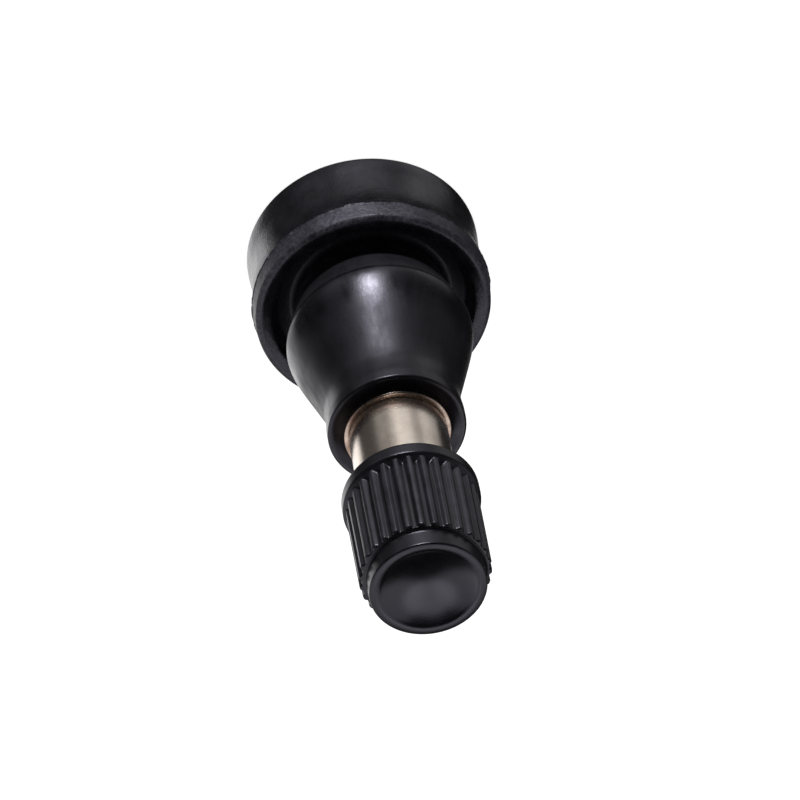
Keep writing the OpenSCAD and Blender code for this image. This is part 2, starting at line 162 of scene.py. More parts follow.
def begin(name, point):
    """A new piece in edit mode, with one vertex at the start of its half-section."""
    bpy.ops.object.select_all(action="DESELECT")
    bpy.ops.mesh.primitive_plane_add(size=MM)
    piece = bpy.context.object
    piece.name = piece.data.name = name
    bpy.ops.object.mode_set(mode="EDIT")
    bpy.ops.mesh.merge(type="CENTER")
    bpy.ops.transform.translate(value=(point[0] * MM, 0, point[1] * MM))
    return piece


def draw(points):
    """Extrudes the vertex from point to point along the half-section."""
    here = points[0]
    for point in points[1:]:
        step = ((point[0] - here[0]) * MM, 0, (point[1] - here[1]) * MM)
        if math.hypot(step[0], step[2]) > MERGE:
            bpy.ops.mesh.extrude_region_move(TRANSFORM_OT_translate={"value": step})
            here = point


def close_up():
    """Merges what meets and turns the faces outwards."""
    bpy.ops.mesh.select_all(action="SELECT")
    bpy.ops.mesh.remove_doubles(threshold=MERGE * 10)
    bpy.ops.mesh.normals_make_consistent(inside=False)


def turned(name, outline, columns):
    """A turned piece, screwed round from its half-section and left in edit mode."""
    piece = begin(name, outline[0])
    draw(outline)
    bpy.ops.object.mode_set(mode="OBJECT")
    lathe = piece.modifiers.new("lathe", "SCREW")
    lathe.steps = lathe.render_steps = columns
    lathe.use_merge_vertices = True
    lathe.merge_threshold = MERGE
    bpy.ops.object.modifier_apply(modifier=lathe.name)
    bpy.ops.object.mode_set(mode="EDIT")
    close_up()
    return piece


def finish_piece(piece, body, slot, finish, *nodes, crease=35):
    """Shades a piece, gives it its finish and sets it on its body in place of the CAD nodes."""
    bpy.ops.object.mode_set(mode="OBJECT")
    bpy.ops.object.shade_smooth_by_angle(angle=math.radians(crease))
    piece.data.materials.clear()
    piece.data.materials.append(finish)
    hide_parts(*nodes)
    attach(piece, body)


def pick(piece, test):
    """Selects, in edit mode, the vertices whose radius, turn in degrees and height pass a test."""
    mesh = bmesh.from_edit_mesh(piece.data)
    for vertex in mesh.verts:
        x, y, z = vertex.co / MM
        vertex.select_set(test(math.hypot(x, y), math.degrees(math.atan2(y, x)), z))
    mesh.select_flush_mode()
    bmesh.update_edit_mesh(piece.data)


def vertex_group(piece, name, weight_of):
    """A vertex group weighted by each vertex's radius and height in millimetres."""
    group = piece.vertex_groups.new(name=name)
    for vertex in piece.data.vertices:
        x, y, z = vertex.co / MM
        weight = weight_of(math.hypot(x, y), z)
        if weight > 0:
            group.add([vertex.index], weight, "REPLACE")


def roughen(piece, group, size, strength, depth):
    """Displaces a vertex group by a cloud pattern of a given size, in millimetres."""
    clouds = bpy.data.textures.new(group + "_clouds", "CLOUDS")
    clouds.noise_scale = size * MM
    clouds.noise_depth = depth
    relief = piece.modifiers.new(group, "DISPLACE")
    relief.texture = clouds
    relief.texture_coords = "LOCAL"
    relief.vertex_group = group
    relief.strength = strength * MM
    bpy.ops.object.modifier_apply(modifier=relief.name)


# Threads

def thread_depth(turn, height, pitch):
    """Share of a thread's depth at a turn and height: 0 on the crest and 1 in the root."""
    phase = height / pitch - turn / FULL_TURN
    return np.clip(0.5 - THREAD_FLANK * np.cos(FULL_TURN * phase), 0, 1)


def cut_thread(piece, choose, shape):
    """Moves the chosen vertices of a turned face in or out to the shape of a thread."""
    mesh = piece.data
    places = np.empty(len(mesh.vertices) * 3)
    mesh.vertices.foreach_get("co", places)
    places = places.reshape(-1, 3)
    radius = np.hypot(places[:, 0], places[:, 1]) / MM
    turn = np.arctan2(places[:, 1], places[:, 0])
    height = places[:, 2] / MM
    chosen = choose(radius, height)
    wanted = np.where(chosen, shape(radius, turn, height), radius)
    places[:, :2] *= (wanted / np.maximum(radius, 1e-6))[:, None]
    mesh.vertices.foreach_set("co", places.ravel())
    mesh.update()


def ease(value, low, high):
    """A soft step from 0 at low to 1 at high."""
    share = np.clip((value - low) / (high - low), 0, 1)
    return share * share * (3 - 2 * share)


def stem_thread_radius(turn, height):
    """Radius of the stem's cap thread, which runs out softly towards the shank."""
    run_out = ease(height, THREAD_FROM, THREAD_FROM + THREAD_FADE)
    return SHANK_R - THREAD_DEPTH * run_out * thread_depth(turn, height, THREAD_PITCH)


# Materials

def add_node(tree, kind, values=None, **settings):
    """A node with its settings and the values of its inputs."""
    made = tree.nodes.new(kind)
    for name, value in settings.items():
        setattr(made, name, value)
    for name, value in (values or {}).items():
        made.inputs[name].default_value = value
    return made


def new_group(name, inputs, outputs):
    """An empty node group with float or vector inputs and float outputs."""
    tree = bpy.data.node_groups.new(name, "ShaderNodeTree")
    for label, kind in inputs:
        tree.interface.new_socket(label, in_out="INPUT", socket_type=kind)
    for label in outputs:
        tree.interface.new_socket(label, in_out="OUTPUT", socket_type="NodeSocketFloat")
    return tree, tree.nodes.new("NodeGroupInput"), tree.nodes.new("NodeGroupOutput")


FLOAT, VECTOR = "NodeSocketFloat", "NodeSocketVector"


def mottle_group():
    """Cloudy patches and fine grain, as on moulded rubber and plastic."""
    tree, given, made = new_group(
        "mottle",
        [("Vector", VECTOR), ("Patch Scale", FLOAT), ("Grain Scale", FLOAT)],
        ["Patch", "Grain"],
    )
    for label, detail, low, high in (("Patch", 4, 0.36, 0.64), ("Grain", 5, 0.3, 0.7)):
        noise = add_node(tree, "ShaderNodeTexNoise", {"Detail": detail, "Roughness": 0.6})
        spread = add_node(tree, "ShaderNodeMapRange", {"From Min": low, "From Max": high})
        tree.links.new(given.outputs["Vector"], noise.inputs["Vector"])
        tree.links.new(given.outputs[label + " Scale"], noise.inputs["Scale"])
        tree.links.new(noise.outputs["Fac"], spread.inputs["Value"])
        tree.links.new(spread.outputs["Result"], made.inputs[label])
    return tree


def band_group():
    """A soft mask between two heights along the valve."""
    tree, given, made = new_group(
        "height_band",
        [("Vector", VECTOR), ("Low", FLOAT), ("High", FLOAT), ("Soft", FLOAT)],
        ["Mask"],
    )
    parts = add_node(tree, "ShaderNodeSeparateXYZ")
    tree.links.new(given.outputs["Vector"], parts.inputs["Vector"])
    product = add_node(tree, "ShaderNodeMath", operation="MULTIPLY")
    above = (parts.outputs["Z"], given.outputs["Low"])
    below = (given.outputs["High"], parts.outputs["Z"])
    for index, (upper, lower) in enumerate((above, below)):
        over = add_node(tree, "ShaderNodeMath", operation="SUBTRACT")
        tree.links.new(upper, over.inputs[0])
        tree.links.new(lower, over.inputs[1])
        share = add_node(tree, "ShaderNodeMath", operation="DIVIDE")
        tree.links.new(over.outputs[0], share.inputs[0])
        tree.links.new(given.outputs["Soft"], share.inputs[1])
        step = add_node(tree, "ShaderNodeMapRange", {"From Min": -0.5, "From Max": 0.5},
                        interpolation_type="SMOOTHSTEP")
        tree.links.new(share.outputs[0], step.inputs["Value"])
        tree.links.new(step.outputs["Result"], product.inputs[index])
    tree.links.new(product.outputs[0], made.inputs["Mask"])
    return tree


def reach_group():
    """A mask that grows from one radius about the valve's axis to another."""
    tree, given, made = new_group(
        "reach", [("Vector", VECTOR), ("Inner", FLOAT), ("Outer", FLOAT)], ["Mask"]
    )
    flat = add_node(tree, "ShaderNodeVectorMath", operation="MULTIPLY")
    flat.inputs[1].default_value = (1, 1, 0)
    length = add_node(tree, "ShaderNodeVectorMath", operation="LENGTH")
    step = add_node(tree, "ShaderNodeMapRange", interpolation_type="SMOOTHSTEP")
    tree.links.new(given.outputs["Vector"], flat.inputs[0])
    tree.links.new(flat.outputs["Vector"], length.inputs[0])
    tree.links.new(length.outputs["Value"], step.inputs["Value"])
    tree.links.new(given.outputs["Inner"], step.inputs["From Min"])
    tree.links.new(given.outputs["Outer"], step.inputs["From Max"])
    tree.links.new(step.outputs["Result"], made.inputs["Mask"])
    return tree


MOTTLE, BAND, REACH = mottle_group(), band_group(), reach_group()
COOL_SHEEN = (0.86, 0.83, 1, 1)
# The colour sockets of a mix node, which share their names with its other sockets
MIX_A, MIX_B, MIX_RESULT = 6, 7, 2


class Finish:
    """A material under way: its tree, its shader and its Object coordinates."""

    def __init__(self, name, **values):
        """Starts a material, with constants on the shader's own sockets."""
        self.material = bpy.data.materials.new(name)
        self.material.use_nodes = True
        self.tree = self.material.node_tree
        self.shader = self.tree.nodes["Principled BSDF"]
        self.place = add_node(self.tree, "ShaderNodeTexCoord").outputs["Object"]
        for label, value in values.items():
            self.shader.inputs[label.replace("_", " ")].default_value = value

    def mapped(self, **values):
        """Object coordinates with another scale or start."""
        made = add_node(self.tree, "ShaderNodeMapping", values)
        self.tree.links.new(self.place, made.inputs["Vector"])
        return made.outputs["Vector"]

    def group(self, tree, place, **values):
        """Places a node group on the Object coordinates or on others, and gives its outputs."""
        made = add_node(self.tree, "ShaderNodeGroup", values, node_tree=tree)
        self.tree.links.new(place or self.place, made.inputs["Vector"])
        return made.outputs

    def mottle(self, patch_scale, grain_scale, place=None):
        """Patches and grain, each at its own scale."""
        scales = {"Patch Scale": patch_scale, "Grain Scale": grain_scale}
        made = self.group(MOTTLE, place, **scales)
        return made["Patch"], made["Grain"]

    def band(self, low, high, soft):
        """A soft mask between two heights, in millimetres."""
        return self.group(BAND, None, Low=low * MM, High=high * MM, Soft=soft * MM)["Mask"]

    def reach(self, inner, outer, place=None):
        """A mask that grows from one radius to another, in millimetres."""
        return self.group(REACH, place, Inner=inner * MM, Outer=outer * MM)["Mask"]

    def tool_rings(self, scale, distortion):
        """Fine rings round the valve, as a turning tool leaves them."""
        made = add_node(
            self.tree, "ShaderNodeTexWave", {"Scale": scale, "Distortion": distortion},
            bands_direction="Z",
        )
        self.tree.links.new(self.place, made.inputs["Vector"])
        return made.outputs["Fac"]

    def math(self, operation, first, second):
        """A sum, product or other operation on two values or outputs."""
        made = add_node(self.tree, "ShaderNodeMath", operation=operation)
        for socket, value in zip(made.inputs, (first, second)):
            if isinstance(value, (int, float)):
                socket.default_value = value
            else:
                self.tree.links.new(value, socket)
        return made.outputs[0]

    def times(self, first, *others):
        """A product of values and outputs."""
        for other in others:
            first = self.math("MULTIPLY", first, other)
        return first

    def plus(self, first, *others):
        """A sum of values and outputs."""
        for other in others:
            first = self.math("ADD", first, other)
        return first

    def spread(self, mask, low, high):
        """A mask from 0 to 1 spread to other limits."""
        made = add_node(self.tree, "ShaderNodeMapRange", {"To Min": low, "To Max": high})
        self.tree.links.new(mask, made.inputs["Value"])
        return made.outputs["Result"]

    def blend(self, mask, first, second):
        """A colour between two others, each a plain colour or an output."""
        made = add_node(self.tree, "ShaderNodeMix", data_type="RGBA")
        self.tree.links.new(mask, made.inputs["Factor"])
        for socket, colour in ((made.inputs[MIX_A], first), (made.inputs[MIX_B], second)):
            if isinstance(colour, tuple):
                socket.default_value = (*colour, 1)
            else:
                self.tree.links.new(colour, socket)
        return made.outputs[MIX_RESULT]

    def colour(self, output):
        """Sets the shader's colour."""
        self.tree.links.new(output, self.shader.inputs["Base Color"])

    def roughness(self, output):
        """Sets the shader's roughness."""
        self.tree.links.new(output, self.shader.inputs["Roughness"])

    def bump(self, height, strength, distance):
        """Relief finer than the mesh, with its depth in millimetres."""
        values = {"Strength": strength, "Distance": distance * MM}
        made = add_node(self.tree, "ShaderNodeBump", values)
        self.tree.links.new(height, made.inputs["Height"])
        self.tree.links.new(made.outputs["Normal"], self.shader.inputs["Normal"])


def body_rubber():
    """Black moulded rubber: a blotched base wall, a grey torn lip and a glossier, streaked bulb."""
    finish = Finish("body_rubber", Specular_IOR_Level=0.42, Specular_Tint=COOL_SHEEN)
    patch, grain = finish.mottle(330, 3600)
    blotch, _ = finish.mottle(950, 6000)
    streak, _ = finish.mottle(1100, 6000, finish.mapped(Scale=(1, 1, 0.12)))
    wall = finish.band(-1, 8.4, 0.8)
    within = finish.spread(finish.reach(7.7, 8), 1, 0)
    back = finish.times(finish.band(4, 11.6, 0.5), within)
    taper = finish.band(14.5, 30, 2.5)
    neck = finish.band(20.2, 30, 0.8)
    lip_reach = finish.reach(8.7, 9.25)
    lip = finish.times(finish.band(6.2, 9, 0.3), lip_reach)
    seam = finish.band(SEAM_Z - 0.1, SEAM_Z + 0.12, 0.06)
    bloom = finish.times(blotch, finish.spread(wall, 0.3, 0.8))
    # A paler, grainy grey band round the lip's outer edge
    pale_lip_band = finish.times(lip, grain, finish.spread(patch, 0.25, 1.0))
    broken = finish.spread(finish.times(blotch, streak), -1.3, 1.7)
    # Pale grey flecks, broken up by noise, along the seam line
    pale_seam_flecks = finish.times(seam, lip_reach, broken)
    dark = finish.blend(bloom, (0.0022, 0.0021, 0.003), (0.007, 0.0066, 0.0095))
    grey = finish.blend(pale_lip_band, dark, (0.06, 0.057, 0.073))
    finish.colour(finish.blend(pale_seam_flecks, grey, (0.4, 0.39, 0.43)))
    finish.roughness(finish.plus(
        finish.spread(wall, 0.25, 0.19),
        finish.spread(patch, -0.03, 0.05),
        finish.spread(streak, -0.03, 0.05),
        finish.spread(back, 0, 0.3),
        finish.spread(lip, 0, 0.26),
        finish.spread(taper, 0, 0.19),
        finish.spread(neck, 0, -0.14),
    ))
    torn = finish.plus(finish.spread(wall, 0.25, 1.0), finish.spread(lip, 0, 2.0))
    relief = finish.times(finish.plus(grain, blotch), torn)
    finish.bump(finish.plus(relief, finish.times(patch, 0.6)), 0.35, 0.02)
    return finish.material


def plated_brass():
    """Satin nickel plate over brass, browned where it leaves the rubber, with turning lines, and
    with painted shade: the collar's sides are browned while its front, towards the key lamp, stays
    bright.
    """
    finish = Finish("plated_brass", Metallic=1)
    patch, grain = finish.mottle(520, 3800)
    collar = finish.band(20, 23.85, 0.1)
    # Painted shade: the collar is browned all round except on its front, which faces the key lamp
    # and the camera; the band above the collar is tarnish
    aside = finish.reach(1.6, 3.2, finish.mapped(Location=(0, 4 * MM, 0)))
    tarnish_and_shade_mask = finish.math("MAXIMUM", finish.band(23.95, 25.1, 0.9), finish.times(collar, aside))
    tarnish_and_painted_shade = finish.times(tarnish_and_shade_mask, finish.spread(patch, 0.5, 1.0))
    plate = finish.blend(patch, (0.62, 0.535, 0.465), (0.71, 0.625, 0.55))
    finish.colour(finish.blend(tarnish_and_painted_shade, plate, (0.2, 0.12, 0.09)))
    finish.roughness(finish.plus(finish.spread(grain, 0.17, 0.25), finish.spread(tarnish_and_painted_shade, 0, 0.16)))
    finish.bump(finish.plus(finish.tool_rings(4200, 1.2), grain), 0.12, 0.004)
    return finish.material


def cap_plastic():
    """Semi-matt black plastic, rubbed grey along the ribs' crests and glossier in the dish."""
    finish = Finish("cap_plastic", Specular_IOR_Level=0.36, Specular_Tint=COOL_SHEEN)
    patch, grain = finish.mottle(700, 7000)
    crests = finish.times(finish.band(RIB_LOW, RIB_TOP + 0.2, 0.4), finish.reach(4.9, 5.1))
    worn = finish.times(crests, finish.spread(patch, 0.3, 1.0))
    dark = finish.blend(patch, (0.0022, 0.0021, 0.003), (0.0055, 0.0052, 0.0073))
    finish.colour(finish.blend(worn, dark, (0.014, 0.0135, 0.018)))
    finish.roughness(finish.plus(
        finish.spread(grain, 0.13, 0.19),
        finish.spread(worn, 0, 0.06),
        finish.spread(finish.reach(3.7, 4.1), 0, 0.14),
    ))
    finish.bump(grain, 0.12, 0.012)
    return finish.material


def core_brass():
    """Plain turned brass with fine tool rings and a little tarnish."""
    finish = Finish("core_brass", Metallic=1)
    patch, grain = finish.mottle(900, 6000)
    finish.colour(finish.blend(patch, (0.56, 0.38, 0.13), (0.74, 0.56, 0.25)))
    finish.roughness(finish.spread(grain, 0.2, 0.34))
    finish.bump(finish.tool_rings(5200, 0.6), 0.15, 0.004)
    return finish.material


def soft_seal(name, first, second, roughness):
    """A matt sealing material in two close colours."""
    finish = Finish(name, Specular_IOR_Level=0.35)
    patch, grain = finish.mottle(1100, 8000)
    finish.colour(finish.blend(patch, first, second))
    finish.roughness(finish.spread(grain, roughness - 0.06, roughness + 0.08))
    finish.bump(grain, 0.3, 0.012)
    return finish.material


def spring_steel():
    """Drawn steel wire with faint die marks."""
    finish = Finish("spring_steel", Metallic=1)
    patch, grain = finish.mottle(1600, 9000)
    finish.colour(finish.blend(patch, (0.45, 0.45, 0.47), (0.62, 0.62, 0.64)))
    finish.roughness(finish.spread(grain, 0.22, 0.36))
    finish.bump(grain, 0.12, 0.006)
    return finish.material


# Rubber body

def stem_in_rubber():
    """Outline that the stem and the rubber share, from the foot's lower edge to the collar."""
    outline = [
        (FOOT_R - FOOT_EDGE, FOOT_Z),
        (FOOT_R, FOOT_Z + FOOT_EDGE),
        (FOOT_R, FOOT_TOP - FOOT_EDGE),
        (FOOT_R - FOOT_EDGE, FOOT_TOP),
    ]
    outline += arc((INSERT_R + FOOT_FLARE, FOOT_TOP + FOOT_FLARE), FOOT_FLARE, 270, 180, 6)
    for top in BARB_TOPS:
        outline += [(INSERT_R, top - BARB_L), (BARB_R, top - BARB_L), (INSERT_R, top)]
    return outline + [(INSERT_R, COLLAR_LOW), (COLLAR_R, COLLAR_LOW)]


def base_outline():
    """Underside, waisted base wall, torn moulding seam, sealing lip and recess."""
    waist = (WAIST_R, WAIST_Z)
    seam = [(LIP_R + out, SEAM_Z + up) for out, up in SEAM_STEPS]
    lip_low = LIP_Z - LIP_CROWN
    crown = arc((LIP_EDGE_R - LIP_CROWN, lip_low), LIP_CROWN, 0, 90 + LIP_SLOPE, 10)
    fall = math.tan(math.radians(LIP_SLOPE))
    inner_edge, slope_end = (
        (r, crown[-1][1] - (crown[-1][0] - r) * fall) for r in (LIP_INNER_R + LIP_TURN, LIP_INNER_R)
    )
    wall_corner = (LIP_INNER_R, LIP_Z - LIP_ROUND)
    wall_top = (LIP_INNER_R, LIP_Z - LIP_ROUND - 0.2)
    wall_foot = (RECESS_R + 0.12, RECESS_Z + 0.4)
    floor_corner, floor_edge = (RECESS_R, RECESS_Z), (RECESS_R - 0.35, RECESS_Z - 0.15)
    return (
        arc((AIR_HOLE_R + HOLE_EDGE, HOLE_EDGE), HOLE_EDGE, 180, 270, 5)
        + straight((AIR_HOLE_R + HOLE_EDGE, 0), (BASE_R - BASE_EDGE, 0), 8)
        + arc((BASE_R - BASE_EDGE, BASE_EDGE), BASE_EDGE, -90, 0, 6)
        + curve((BASE_R, BASE_EDGE), (BASE_R, WAIST_Z / 2), (WAIST_R, WAIST_Z / 2), waist)
        + curve(waist, (WAIST_R, SEAM_Z - 1.4), (LIP_EDGE_R, SEAM_Z - 0.8), seam[0])
        + seam[1:-1]
        + straight(seam[-1], (LIP_EDGE_R, lip_low), 7)
        + crown
        + straight(crown[-1], inner_edge, 3)
        + curve(inner_edge, along(inner_edge, slope_end, 0.2), wall_corner, wall_top, 8)
        + straight(wall_top, wall_foot, 4)
        + curve(wall_foot, floor_corner, floor_corner, floor_edge, 6)
    )


def bulb_outline():
    """Rim groove, back cone, bulb, taper, beaded neck and the funnel round the stem."""
    root, corner, neck = (GROOVE_R, BACK_Z), (BULB_R, BULB_Z), (NECK_R, NECK_Z)
    back, near_back = (along(corner, root, length) for length in (BULB_NOSE, BULB_NOSE / 5))
    front, near_front = (along(corner, neck, length) for length in (BULB_FRONT, BULB_FRONT / 3))
    taper_end, taper_turn = (along(neck, corner, length) for length in (TAPER_END, TAPER_END / 4))
    bead_low = (BEAD_R, NECK_Z + BEAD_RISE)
    return (
        arc((GROOVE_R + GROOVE_TURN, GROOVE_Z + GROOVE_TURN), GROOVE_TURN, 270, 180)
        + straight((GROOVE_R, GROOVE_Z + GROOVE_TURN), root, 4)
        + straight(root, back, 14)
        + curve(back, near_back, near_front, front, 26)
        + straight(front, taper_end, 16)
        + curve(taper_end, taper_turn, (NECK_R + 0.07, NECK_Z + 0.5), bead_low, 20)
        + straight(bead_low, (BEAD_R, BODY_TOP - BEAD_TURN), 3)
        + arc((BEAD_R - BEAD_TURN, BODY_TOP - BEAD_TURN), BEAD_TURN, 0, 90)
        + straight((BEAD_R - BEAD_TURN, BODY_TOP), (COLLAR_R, BODY_TOP - FUNNEL_DEPTH), 4)
    )


def rubber_body(finish):
    """The moulding, turned and then roughened along its flash, its seam and its outer skin."""
    bore = stem_in_rubber()[::-1] + [(AIR_HOLE_R, FOOT_Z), (AIR_HOLE_R, HOLE_EDGE)]
    piece = turned("rubber_moulding", base_outline() + bulb_outline() + bore, BODY_COLUMNS)
    bpy.ops.object.mode_set(mode="OBJECT")
    vertex_group(piece, "flash", lambda r, z: float(r > LIP_R + 0.4 * FLASH))
    roughen(piece, "flash", size=0.6, strength=0.14, depth=3)
    vertex_group(piece, "seam", lambda r, z: float(r > LIP_EDGE_R and abs(z - SEAM_Z) < 0.2))
    roughen(piece, "seam", size=1.4, strength=0.1, depth=3)
    vertex_group(piece, "skin", lambda r, z: float(r > BEAD_R - 0.4 and z > 0.3))
    roughen(piece, "skin", size=3.2, strength=0.02, depth=1)
    finish_piece(piece, "stem", "body_rubber", finish, "rubber_body", crease=50)


# Stem

def stem_outline():
    """Foot, barbs, collar, relief, shank, threaded end, mouth and passage."""
    shank_low = COLLAR_TOP + RELIEF_W
    thread_rings = round((MOUTH_Z - MOUTH_CHAMFER - THREAD_FROM) / THREAD_PITCH * THREAD_RINGS)
    return (
        [(AIRWAY_R, FOOT_Z)]
        + stem_in_rubber()
        + straight((COLLAR_R, COLLAR_LOW), (COLLAR_R, COLLAR_TOP - COLLAR_RIM_H), 2)
        + arc((COLLAR_RIM_R - COLLAR_ROUND, COLLAR_TOP - COLLAR_ROUND), COLLAR_ROUND, -30, 90, 12)
        + [(SHANK_R - RELIEF_DEPTH, COLLAR_TOP), (SHANK_R - RELIEF_DEPTH, shank_low - SHANK_EDGE)]
        + [(SHANK_R - SHANK_BEVEL, shank_low)]
        + straight((SHANK_R, shank_low + SHANK_EDGE), (SHANK_R, THREAD_FROM), 12)
        + straight((SHANK_R, THREAD_FROM), (SHANK_R, MOUTH_Z - MOUTH_CHAMFER), thread_rings)
        + straight((SHANK_R, MOUTH_Z - MOUTH_CHAMFER), (SHANK_R - MOUTH_CHAMFER, MOUTH_Z), 6)
        + [(BORE_R + BORE_CHAMFER, MOUTH_Z), (BORE_R, MOUTH_Z - BORE_CHAMFER)]
        + [(BORE_R, SEAT_TOP), (CHAMBER_R, SEAT_LOW), (CHAMBER_R, CHAMBER_LOW)]
        + [(AIRWAY_R, CHAMBER_LOW - CHAMBER_R + AIRWAY_R), (AIRWAY_R, FOOT_Z)]
    )


def brass_stem(finish):
    """The stem, turned and then threaded."""
    piece = turned("plated_stem", stem_outline(), STEM_COLUMNS)
    bpy.ops.object.mode_set(mode="OBJECT")
    cut_thread(
        piece,
        lambda radius, height: (radius > BORE_R + BORE_CHAMFER + 0.05) & (height > THREAD_FROM),
        lambda radius, turn, height: np.minimum(radius, stem_thread_radius(turn, height)),
    )
    finish_piece(piece, "stem", "plated_brass", finish, "brass_stem", crease=50)


# Cap

def groove_end():
    """Length over which a groove runs out towards the collar."""
    return math.sqrt(GROOVE_END_ROUND ** 2 - (GROOVE_END_ROUND - GROOVE_DEPTH) ** 2)


def groove_heights():
    """Heights of the rings that shape the grooves' closed ends, the last of them at full depth."""
    full = RIB_LOW + groove_end()
    return [full - GROOVE_END_ROUND * math.sin(math.radians(t)) for t in GROOVE_END_TURNS]


def groove_depth(aside, height):
    """Depth of a groove beside its middle: a V that runs out on a curve towards the collar."""
    from_middle = math.hypot(2 * aside / GROOVE_W, GROOVE_BLUNT)
    across = GROOVE_DEPTH * (1 + GROOVE_BLUNT - from_middle)
    short = max(RIB_LOW + groove_end() - height, 0)
    along_it = GROOVE_DEPTH - GROOVE_END_ROUND + math.sqrt(GROOVE_END_ROUND ** 2 - short ** 2)
    return min(across, along_it)


def rib_ends():
    """Round ends of the ribs at the shoulder."""
    return arc((RIB_TOP_R - RIB_END_ROUND, RIB_TOP - RIB_END_ROUND), RIB_END_ROUND, 0, 90, 6)


def rib_radius(height):
    """Radius over the ribs, which taper a little towards their upper end."""
    return RIB_LOW_R + (RIB_TOP_R - RIB_LOW_R) * (height - RIB_LOW) / (RIB_TOP - RIB_LOW)


def cap_outside():
    """Open end, collar, ribbed skirt, shoulder, boss, rim and dished end."""
    collar_top = (CAP_COLLAR_R, RIB_LOW - (CAP_COLLAR_R - RIB_LOW_R) - 0.08)
    collar_turn, collar_end = (CAP_COLLAR_R, RIB_LOW - 0.16), (CAP_COLLAR_R - 0.1, RIB_LOW - 0.1)
    skirt = [(rib_radius(z), z) for z in groove_heights()]
    boss_top, rim = (BOSS_TOP_R, CREST_Z - RIM_DROP), (RIM_R, CREST_Z - RIM_FALL)
    boss_turn = (BOSS_TOP_R, CREST_Z - 0.4 * RIM_DROP)
    rim_turn = (RIM_R + 0.12, CREST_Z - 1.5 * RIM_FALL)
    radii = (DISH_R * (1 - i / DISH_RINGS) for i in range(DISH_RINGS + 1))
    dish = [(r, CREST_Z - DISH_DEPTH * (1 - (r / CREST_R) ** 2)) for r in radii]
    return (
        straight((ENTRY_R + ENTRY_EDGE, CAP_LOW), (CAP_COLLAR_R - CAP_EDGE, CAP_LOW), 4)
        + arc((CAP_COLLAR_R - CAP_EDGE, CAP_LOW + CAP_EDGE), CAP_EDGE, -90, 0)
        + straight((CAP_COLLAR_R, CAP_LOW + CAP_EDGE), collar_top, 5)
        + curve(collar_top, collar_turn, collar_end, (RIB_LOW_R, RIB_LOW), 5)
        + skirt
        + straight(skirt[-1], (RIB_TOP_R, RIB_TOP - RIB_END_ROUND), 6)
        + rib_ends()
        + arc((BOSS_R + BOSS_FILLET, RIB_TOP + BOSS_FILLET), BOSS_FILLET, 270, 180)
        + straight((BOSS_R, RIB_TOP + BOSS_FILLET), boss_top, 4)
        + curve(boss_top, boss_turn, rim_turn, rim, 8)
        + curve(rim, (CREST_R + 0.1, CREST_Z), (CREST_R - 0.1, CREST_Z), dish[0], 8)
        + dish
    )


def cap_inside():
    """Plain entry, threaded bore, seal pocket and inner end."""
    rings = round((POCKET_Z - ENTRY_TOP) / THREAD_PITCH * THREAD_RINGS)
    return (
        [(ENTRY_R + ENTRY_EDGE, CAP_LOW)]
        + straight((ENTRY_R, CAP_LOW + ENTRY_EDGE), (ENTRY_R, ENTRY_TOP - 0.2), 4)
        + straight((ENTRY_R, ENTRY_TOP - 0.2), (CAP_BORE_R, ENTRY_TOP), 2)
        + straight((CAP_BORE_R, ENTRY_TOP), (CAP_BORE_R, POCKET_Z), rings)
        + [(POCKET_R, POCKET_Z), (POCKET_R, INNER_END), (0, INNER_END)]
    )


# How far from its ring and its column a vertex may lie, in millimetres and degrees
RING_SLACK, RADIUS_SLACK, TURN_SLACK = 0.002, 0.02, 0.1


def cut_grooves(piece):
    """Scales the columns between the ribs towards the axis, ring by ring at both of their ends."""
    pitch = 360 / RIB_COUNT
    column = pitch / RIB_COLUMNS
    floor = BOSS_R + BOSS_FILLET + 0.02
    levels = [(rib_radius(z), z, z) for z in groove_heights()]
    levels.append((RIB_TOP_R, levels[-1][1] + 0.02, RIB_TOP - RIB_END_ROUND))
    levels += [(r, z, z) for r, z in rib_ends()[1:]]
    for offset in range(RIB_COLUMNS // 2):
        aside = RIB_LOW_R * math.radians(offset * column)
        for ring, low, high in levels:
            depth = min(groove_depth(aside, high), ring - floor)
            if depth <= 0:
                continue

            def in_column(radius, turn, height):
                """Whether a vertex is on this ring, in a column this far from a groove's middle."""
                away = abs((turn - RIB_PHASE + pitch / 2) % pitch - pitch / 2)
                in_ring = low - RING_SLACK < height < high + RING_SLACK
                outside = radius > ring - RADIUS_SLACK
                return in_ring and outside and abs(away - offset * column) < TURN_SLACK

            pick(piece, in_column)
            share = 1 - depth / ring
            bpy.ops.transform.resize(value=(share, share, 1), center_override=(0, 0, 0))


def cap_shell(finish):
    """The cap: a threaded lining joined to a ribbed outside, which are closed at the open end."""
    columns = RIB_COUNT * RIB_COLUMNS
    lining = turned("cap_lining", cap_inside(), columns)
    bpy.ops.object.mode_set(mode="OBJECT")

    def female_thread(radius, turn, height):
        """Radius of the cap's own thread, which keeps a little play to the stem's."""
        begins = ease(height, ENTRY_TOP, ENTRY_TOP + THREAD_FADE)
        ends = 1 - ease(height, POCKET_Z - THREAD_FADE, POCKET_Z)
        meshed = np.maximum(stem_thread_radius(turn, height) + CAP_THREAD_PLAY, CAP_MINOR_R)
        return radius + (np.minimum(meshed, CAP_BORE_R) - radius) * begins * ends

    cut_thread(
        lining,
        lambda radius, height: (
            (radius > POCKET_R + 0.1) & (height > ENTRY_TOP) & (height < POCKET_Z)
        ),
        female_thread,
    )
    piece = turned("ribbed_cap", cap_outside(), columns)
    bpy.ops.transform.rotate(
        value=-math.radians(RIB_PHASE), orient_axis="Z", center_override=(0, 0, 0)
    )
    cut_grooves(piece)
    bpy.ops.object.mode_set(mode="OBJECT")
    lining.select_set(True)
    bpy.ops.object.join()
    bpy.ops.object.mode_set(mode="EDIT")
    close_up()
    finish_piece(piece, "cap", "cap_plastic", finish, "cap_shell", crease=45)


# Core

